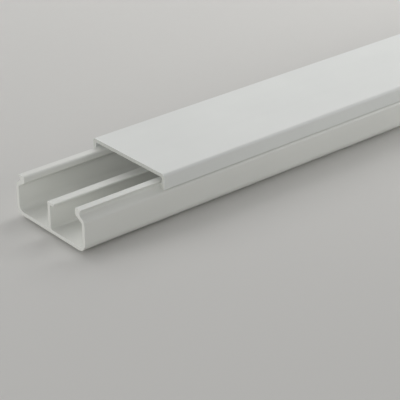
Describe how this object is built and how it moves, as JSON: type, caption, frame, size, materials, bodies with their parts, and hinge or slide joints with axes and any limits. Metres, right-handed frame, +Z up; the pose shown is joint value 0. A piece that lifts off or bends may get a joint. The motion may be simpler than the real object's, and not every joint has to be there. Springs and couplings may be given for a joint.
{
  "type": "cord cover raceway",
  "caption": "Flat extruded plastic cord raceway with a divider along its base, a clip-on sliding cover pushed part way along, and a peel-and-stick adhesive back.",
  "frame": {"origin": "centre of the adhesive back, on the release liner's underside, at the middle of the base's length", "axes": "+X along the stick, from the open near end towards the end that the cover stands out past; +Y across it; +Z up, out of the wall or floor that it is stuck to"},
  "size_m": [0.433, 0.039, 0.0192],
  "materials": {
    "base_pvc": "satin extruded PVC, white-grey",
    "cover_pvc": "satin extruded PVC, white-grey",
    "foam_tape": "pale double-sided foam tape",
    "liner_paper": "yellow coated release liner"
  },
  "bodies": {
    "base": {"base_channel": "base_pvc", "adhesive_tape": "foam_tape", "release_liner": "liner_paper"},
    "lid": {"cover": "cover_pvc"}
  },
  "joints": [
    {"name": "cover_slide", "type": "slide", "parent": "base", "child": "lid", "axis": [1, 0, 0], "range_m": [-0.333, 0.267]}
  ]
}
